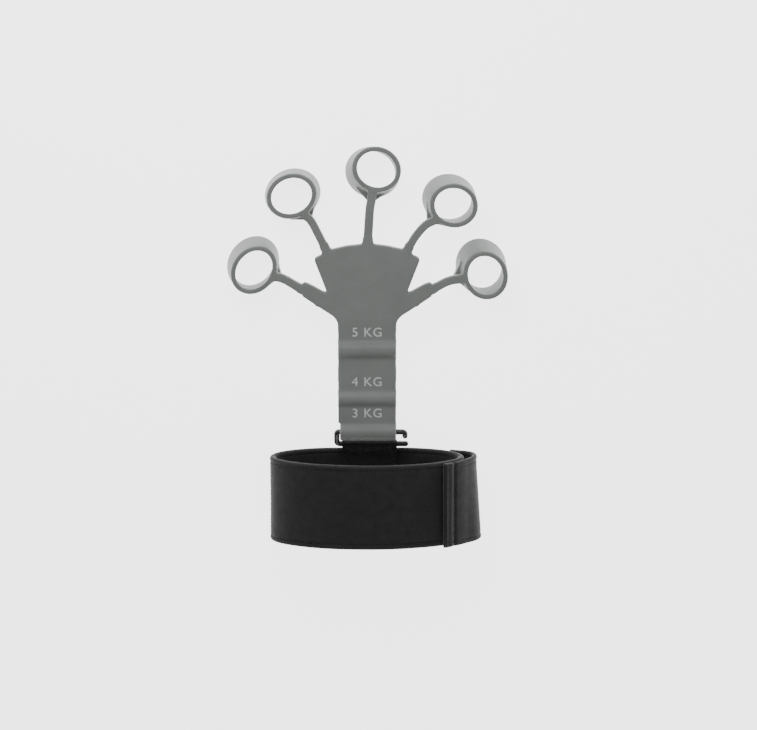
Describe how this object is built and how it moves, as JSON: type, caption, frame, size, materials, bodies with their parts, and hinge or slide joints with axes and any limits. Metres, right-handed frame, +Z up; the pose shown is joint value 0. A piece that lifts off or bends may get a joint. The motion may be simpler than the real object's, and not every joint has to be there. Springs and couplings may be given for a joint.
{
  "type": "finger exerciser",
  "caption": "Silicone hand web with round finger loops on elastic arms, and a ribbed tail hooked by a wire to a padded wrist band.",
  "frame": {"origin": "middle of the underside of the box round the whole object, which lies flat with its labelled face up", "axes": "+Y from the wrist band towards the fingers, +X to the right seen from above, +Z up from the table"},
  "size_m": [0.143, 0.2022, 0.038],
  "materials": {
    "silicone": "matt grey moulded silicone",
    "coated_wire": "satin black coating",
    "webbing": "woven black webbing",
    "neoprene": "black knit over foam",
    "lining": "smooth black knit",
    "loop_fabric": "fuzzy black loop fabric",
    "hook_fabric": "black hook tape"
  },
  "bodies": {
    "palm": {"palm_web": "silicone"},
    "arm_1_inner": {"arm_1_inner": "silicone"},
    "arm_1_outer": {"arm_1_outer": "silicone"},
    "loop_1": {"finger_loop_1": "silicone"},
    "arm_2_inner": {"arm_2_inner": "silicone"},
    "arm_2_outer": {"arm_2_outer": "silicone"},
    "loop_2": {"finger_loop_2": "silicone"},
    "arm_3_inner": {"arm_3_inner": "silicone"},
    "arm_3_outer": {"arm_3_outer": "silicone"},
    "loop_3": {"finger_loop_3": "silicone"},
    "arm_4_inner": {"arm_4_inner": "silicone"},
    "arm_4_outer": {"arm_4_outer": "silicone"},
    "loop_4": {"finger_loop_4": "silicone"},
    "arm_5_inner": {"arm_5_inner": "silicone"},
    "arm_5_outer": {"arm_5_outer": "silicone"},
    "loop_5": {"finger_loop_5": "silicone"},
    "tail_top": {"tail_top": "silicone"},
    "tail_middle": {"tail_middle": "silicone"},
    "tail_end": {"tail_end": "silicone"},
    "hook": {"wire_hook": "coated_wire"},
    "band": {"band_neoprene": "neoprene", "band_lining": "lining", "loop_patch": "loop_fabric", "webbing_tab": "webbing"},
    "flap": {"band_flap": "neoprene", "flap_hem": "neoprene", "hook_patch": "hook_fabric"}
  },
  "joints": [
    {"name": "arm_1_flex", "type": "hinge", "parent": "palm", "child": "arm_1_inner", "pos_m": [-0.02551, 0.02303, 0.01125], "axis": [0.5189, 0.8548, 0], "range_deg": [-25, 25], "stiffness_Nm_per_rad": 0.02},
    {"name": "arm_1_stretch", "type": "slide", "parent": "arm_1_inner", "child": "arm_1_outer", "axis": [-0.8691, 0.4947, 0], "range_m": [0, 0.012], "stiffness_N_per_m": 400},
    {"name": "loop_1_turn", "type": "hinge", "parent": "arm_1_outer", "child": "loop_1", "pos_m": [-0.04265, 0.03225, 0.0095], "axis": [-0.207, -0.9783, 0], "range_deg": [0, 90], "stiffness_Nm_per_rad": 0.008},
    {"name": "arm_2_flex", "type": "hinge", "parent": "palm", "child": "arm_2_inner", "pos_m": [-0.02285, 0.051, 0.01125], "axis": [0.8944, 0.4472, 0], "range_deg": [-25, 25], "stiffness_Nm_per_rad": 0.02},
    {"name": "arm_2_stretch", "type": "slide", "parent": "arm_2_inner", "child": "arm_2_outer", "axis": [-0.4608, 0.8875, 0], "range_m": [0, 0.012], "stiffness_N_per_m": 400},
    {"name": "loop_2_turn", "type": "hinge", "parent": "arm_2_outer", "child": "loop_2", "pos_m": [-0.02795, 0.0609, 0.0095], "axis": [-0.8875, -0.4608, 0], "range_deg": [0, 90], "stiffness_Nm_per_rad": 0.008},
    {"name": "arm_3_flex", "type": "hinge", "parent": "palm", "child": "arm_3_inner", "pos_m": [0.00011, 0.05455, 0.01125], "axis": [0.998, -0.0628, 0], "range_deg": [-25, 25], "stiffness_Nm_per_rad": 0.02},
    {"name": "arm_3_stretch", "type": "slide", "parent": "arm_3_inner", "child": "arm_3_outer", "axis": [0.0628, 0.998, 0], "range_m": [0, 0.012], "stiffness_N_per_m": 400},
    {"name": "loop_3_turn", "type": "hinge", "parent": "arm_3_outer", "child": "loop_3", "pos_m": [0.0012, 0.069, 0.0095], "axis": [-0.9878, 0.156, 0], "range_deg": [0, 90], "stiffness_Nm_per_rad": 0.008},
    {"name": "arm_4_flex", "type": "hinge", "parent": "palm", "child": "arm_4_inner", "pos_m": [0.02185, 0.05065, 0.01125], "axis": [0.8563, -0.5165, 0], "range_deg": [-25, 25], "stiffness_Nm_per_rad": 0.02},
    {"name": "arm_4_stretch", "type": "slide", "parent": "arm_4_inner", "child": "arm_4_outer", "axis": [0.6536, 0.7568, 0], "range_m": [0, 0.012], "stiffness_N_per_m": 400},
    {"name": "loop_4_turn", "type": "hinge", "parent": "arm_4_outer", "child": "loop_4", "pos_m": [0.02905, 0.05965, 0.0095], "axis": [-0.4813, 0.8766, 0], "range_deg": [0, 90], "stiffness_Nm_per_rad": 0.008},
    {"name": "arm_5_flex", "type": "hinge", "parent": "palm", "child": "arm_5_inner", "pos_m": [0.02461, 0.02303, 0.01125], "axis": [0.5189, -0.8548, 0], "range_deg": [-25, 25], "stiffness_Nm_per_rad": 0.02},
    {"name": "arm_5_stretch", "type": "slide", "parent": "arm_5_inner", "child": "arm_5_outer", "axis": [0.9037, 0.4281, 0], "range_m": [0, 0.012], "stiffness_N_per_m": 400},
    {"name": "loop_5_turn", "type": "hinge", "parent": "arm_5_outer", "child": "loop_5", "pos_m": [0.04195, 0.0313, 0.0095], "axis": [-0.1644, 0.9864, 0], "range_deg": [0, 90], "stiffness_Nm_per_rad": 0.008},
    {"name": "tail_flex", "type": "hinge", "parent": "palm", "child": "tail_top", "pos_m": [-0.00045, 0.00415, 0.01125], "axis": [-1, 0, 0], "range_deg": [-30, 30], "stiffness_Nm_per_rad": 0.03},
    {"name": "tail_stretch_upper", "type": "slide", "parent": "tail_top", "child": "tail_middle", "axis": [0, -1, 0], "range_m": [0, 0.015], "stiffness_N_per_m": 900},
    {"name": "tail_stretch_lower", "type": "slide", "parent": "tail_middle", "child": "tail_end", "axis": [0, -1, 0], "range_m": [0, 0.012], "stiffness_N_per_m": 1125},
    {"name": "hook_swing", "type": "hinge", "parent": "tail_end", "child": "hook", "pos_m": [-0.00045, -0.04685, 0.01125], "axis": [1, 0, 0], "range_deg": [-30, 30]},
    {"name": "band_swing", "type": "hinge", "parent": "hook", "child": "band", "pos_m": [-0.00045, -0.0546, 0.005], "axis": [-1, 0, 0], "range_deg": [-30, 30]},
    {"name": "flap_peel", "type": "hinge", "parent": "band", "child": "flap", "pos_m": [0.04131, -0.0511, 0.0048], "axis": [0, 1, 0], "range_deg": [0, 100]}
  ],
  "couplings": [
    {"joint": "tail_stretch_lower", "follows": "tail_stretch_upper", "ratio": 0.8}
  ]
}
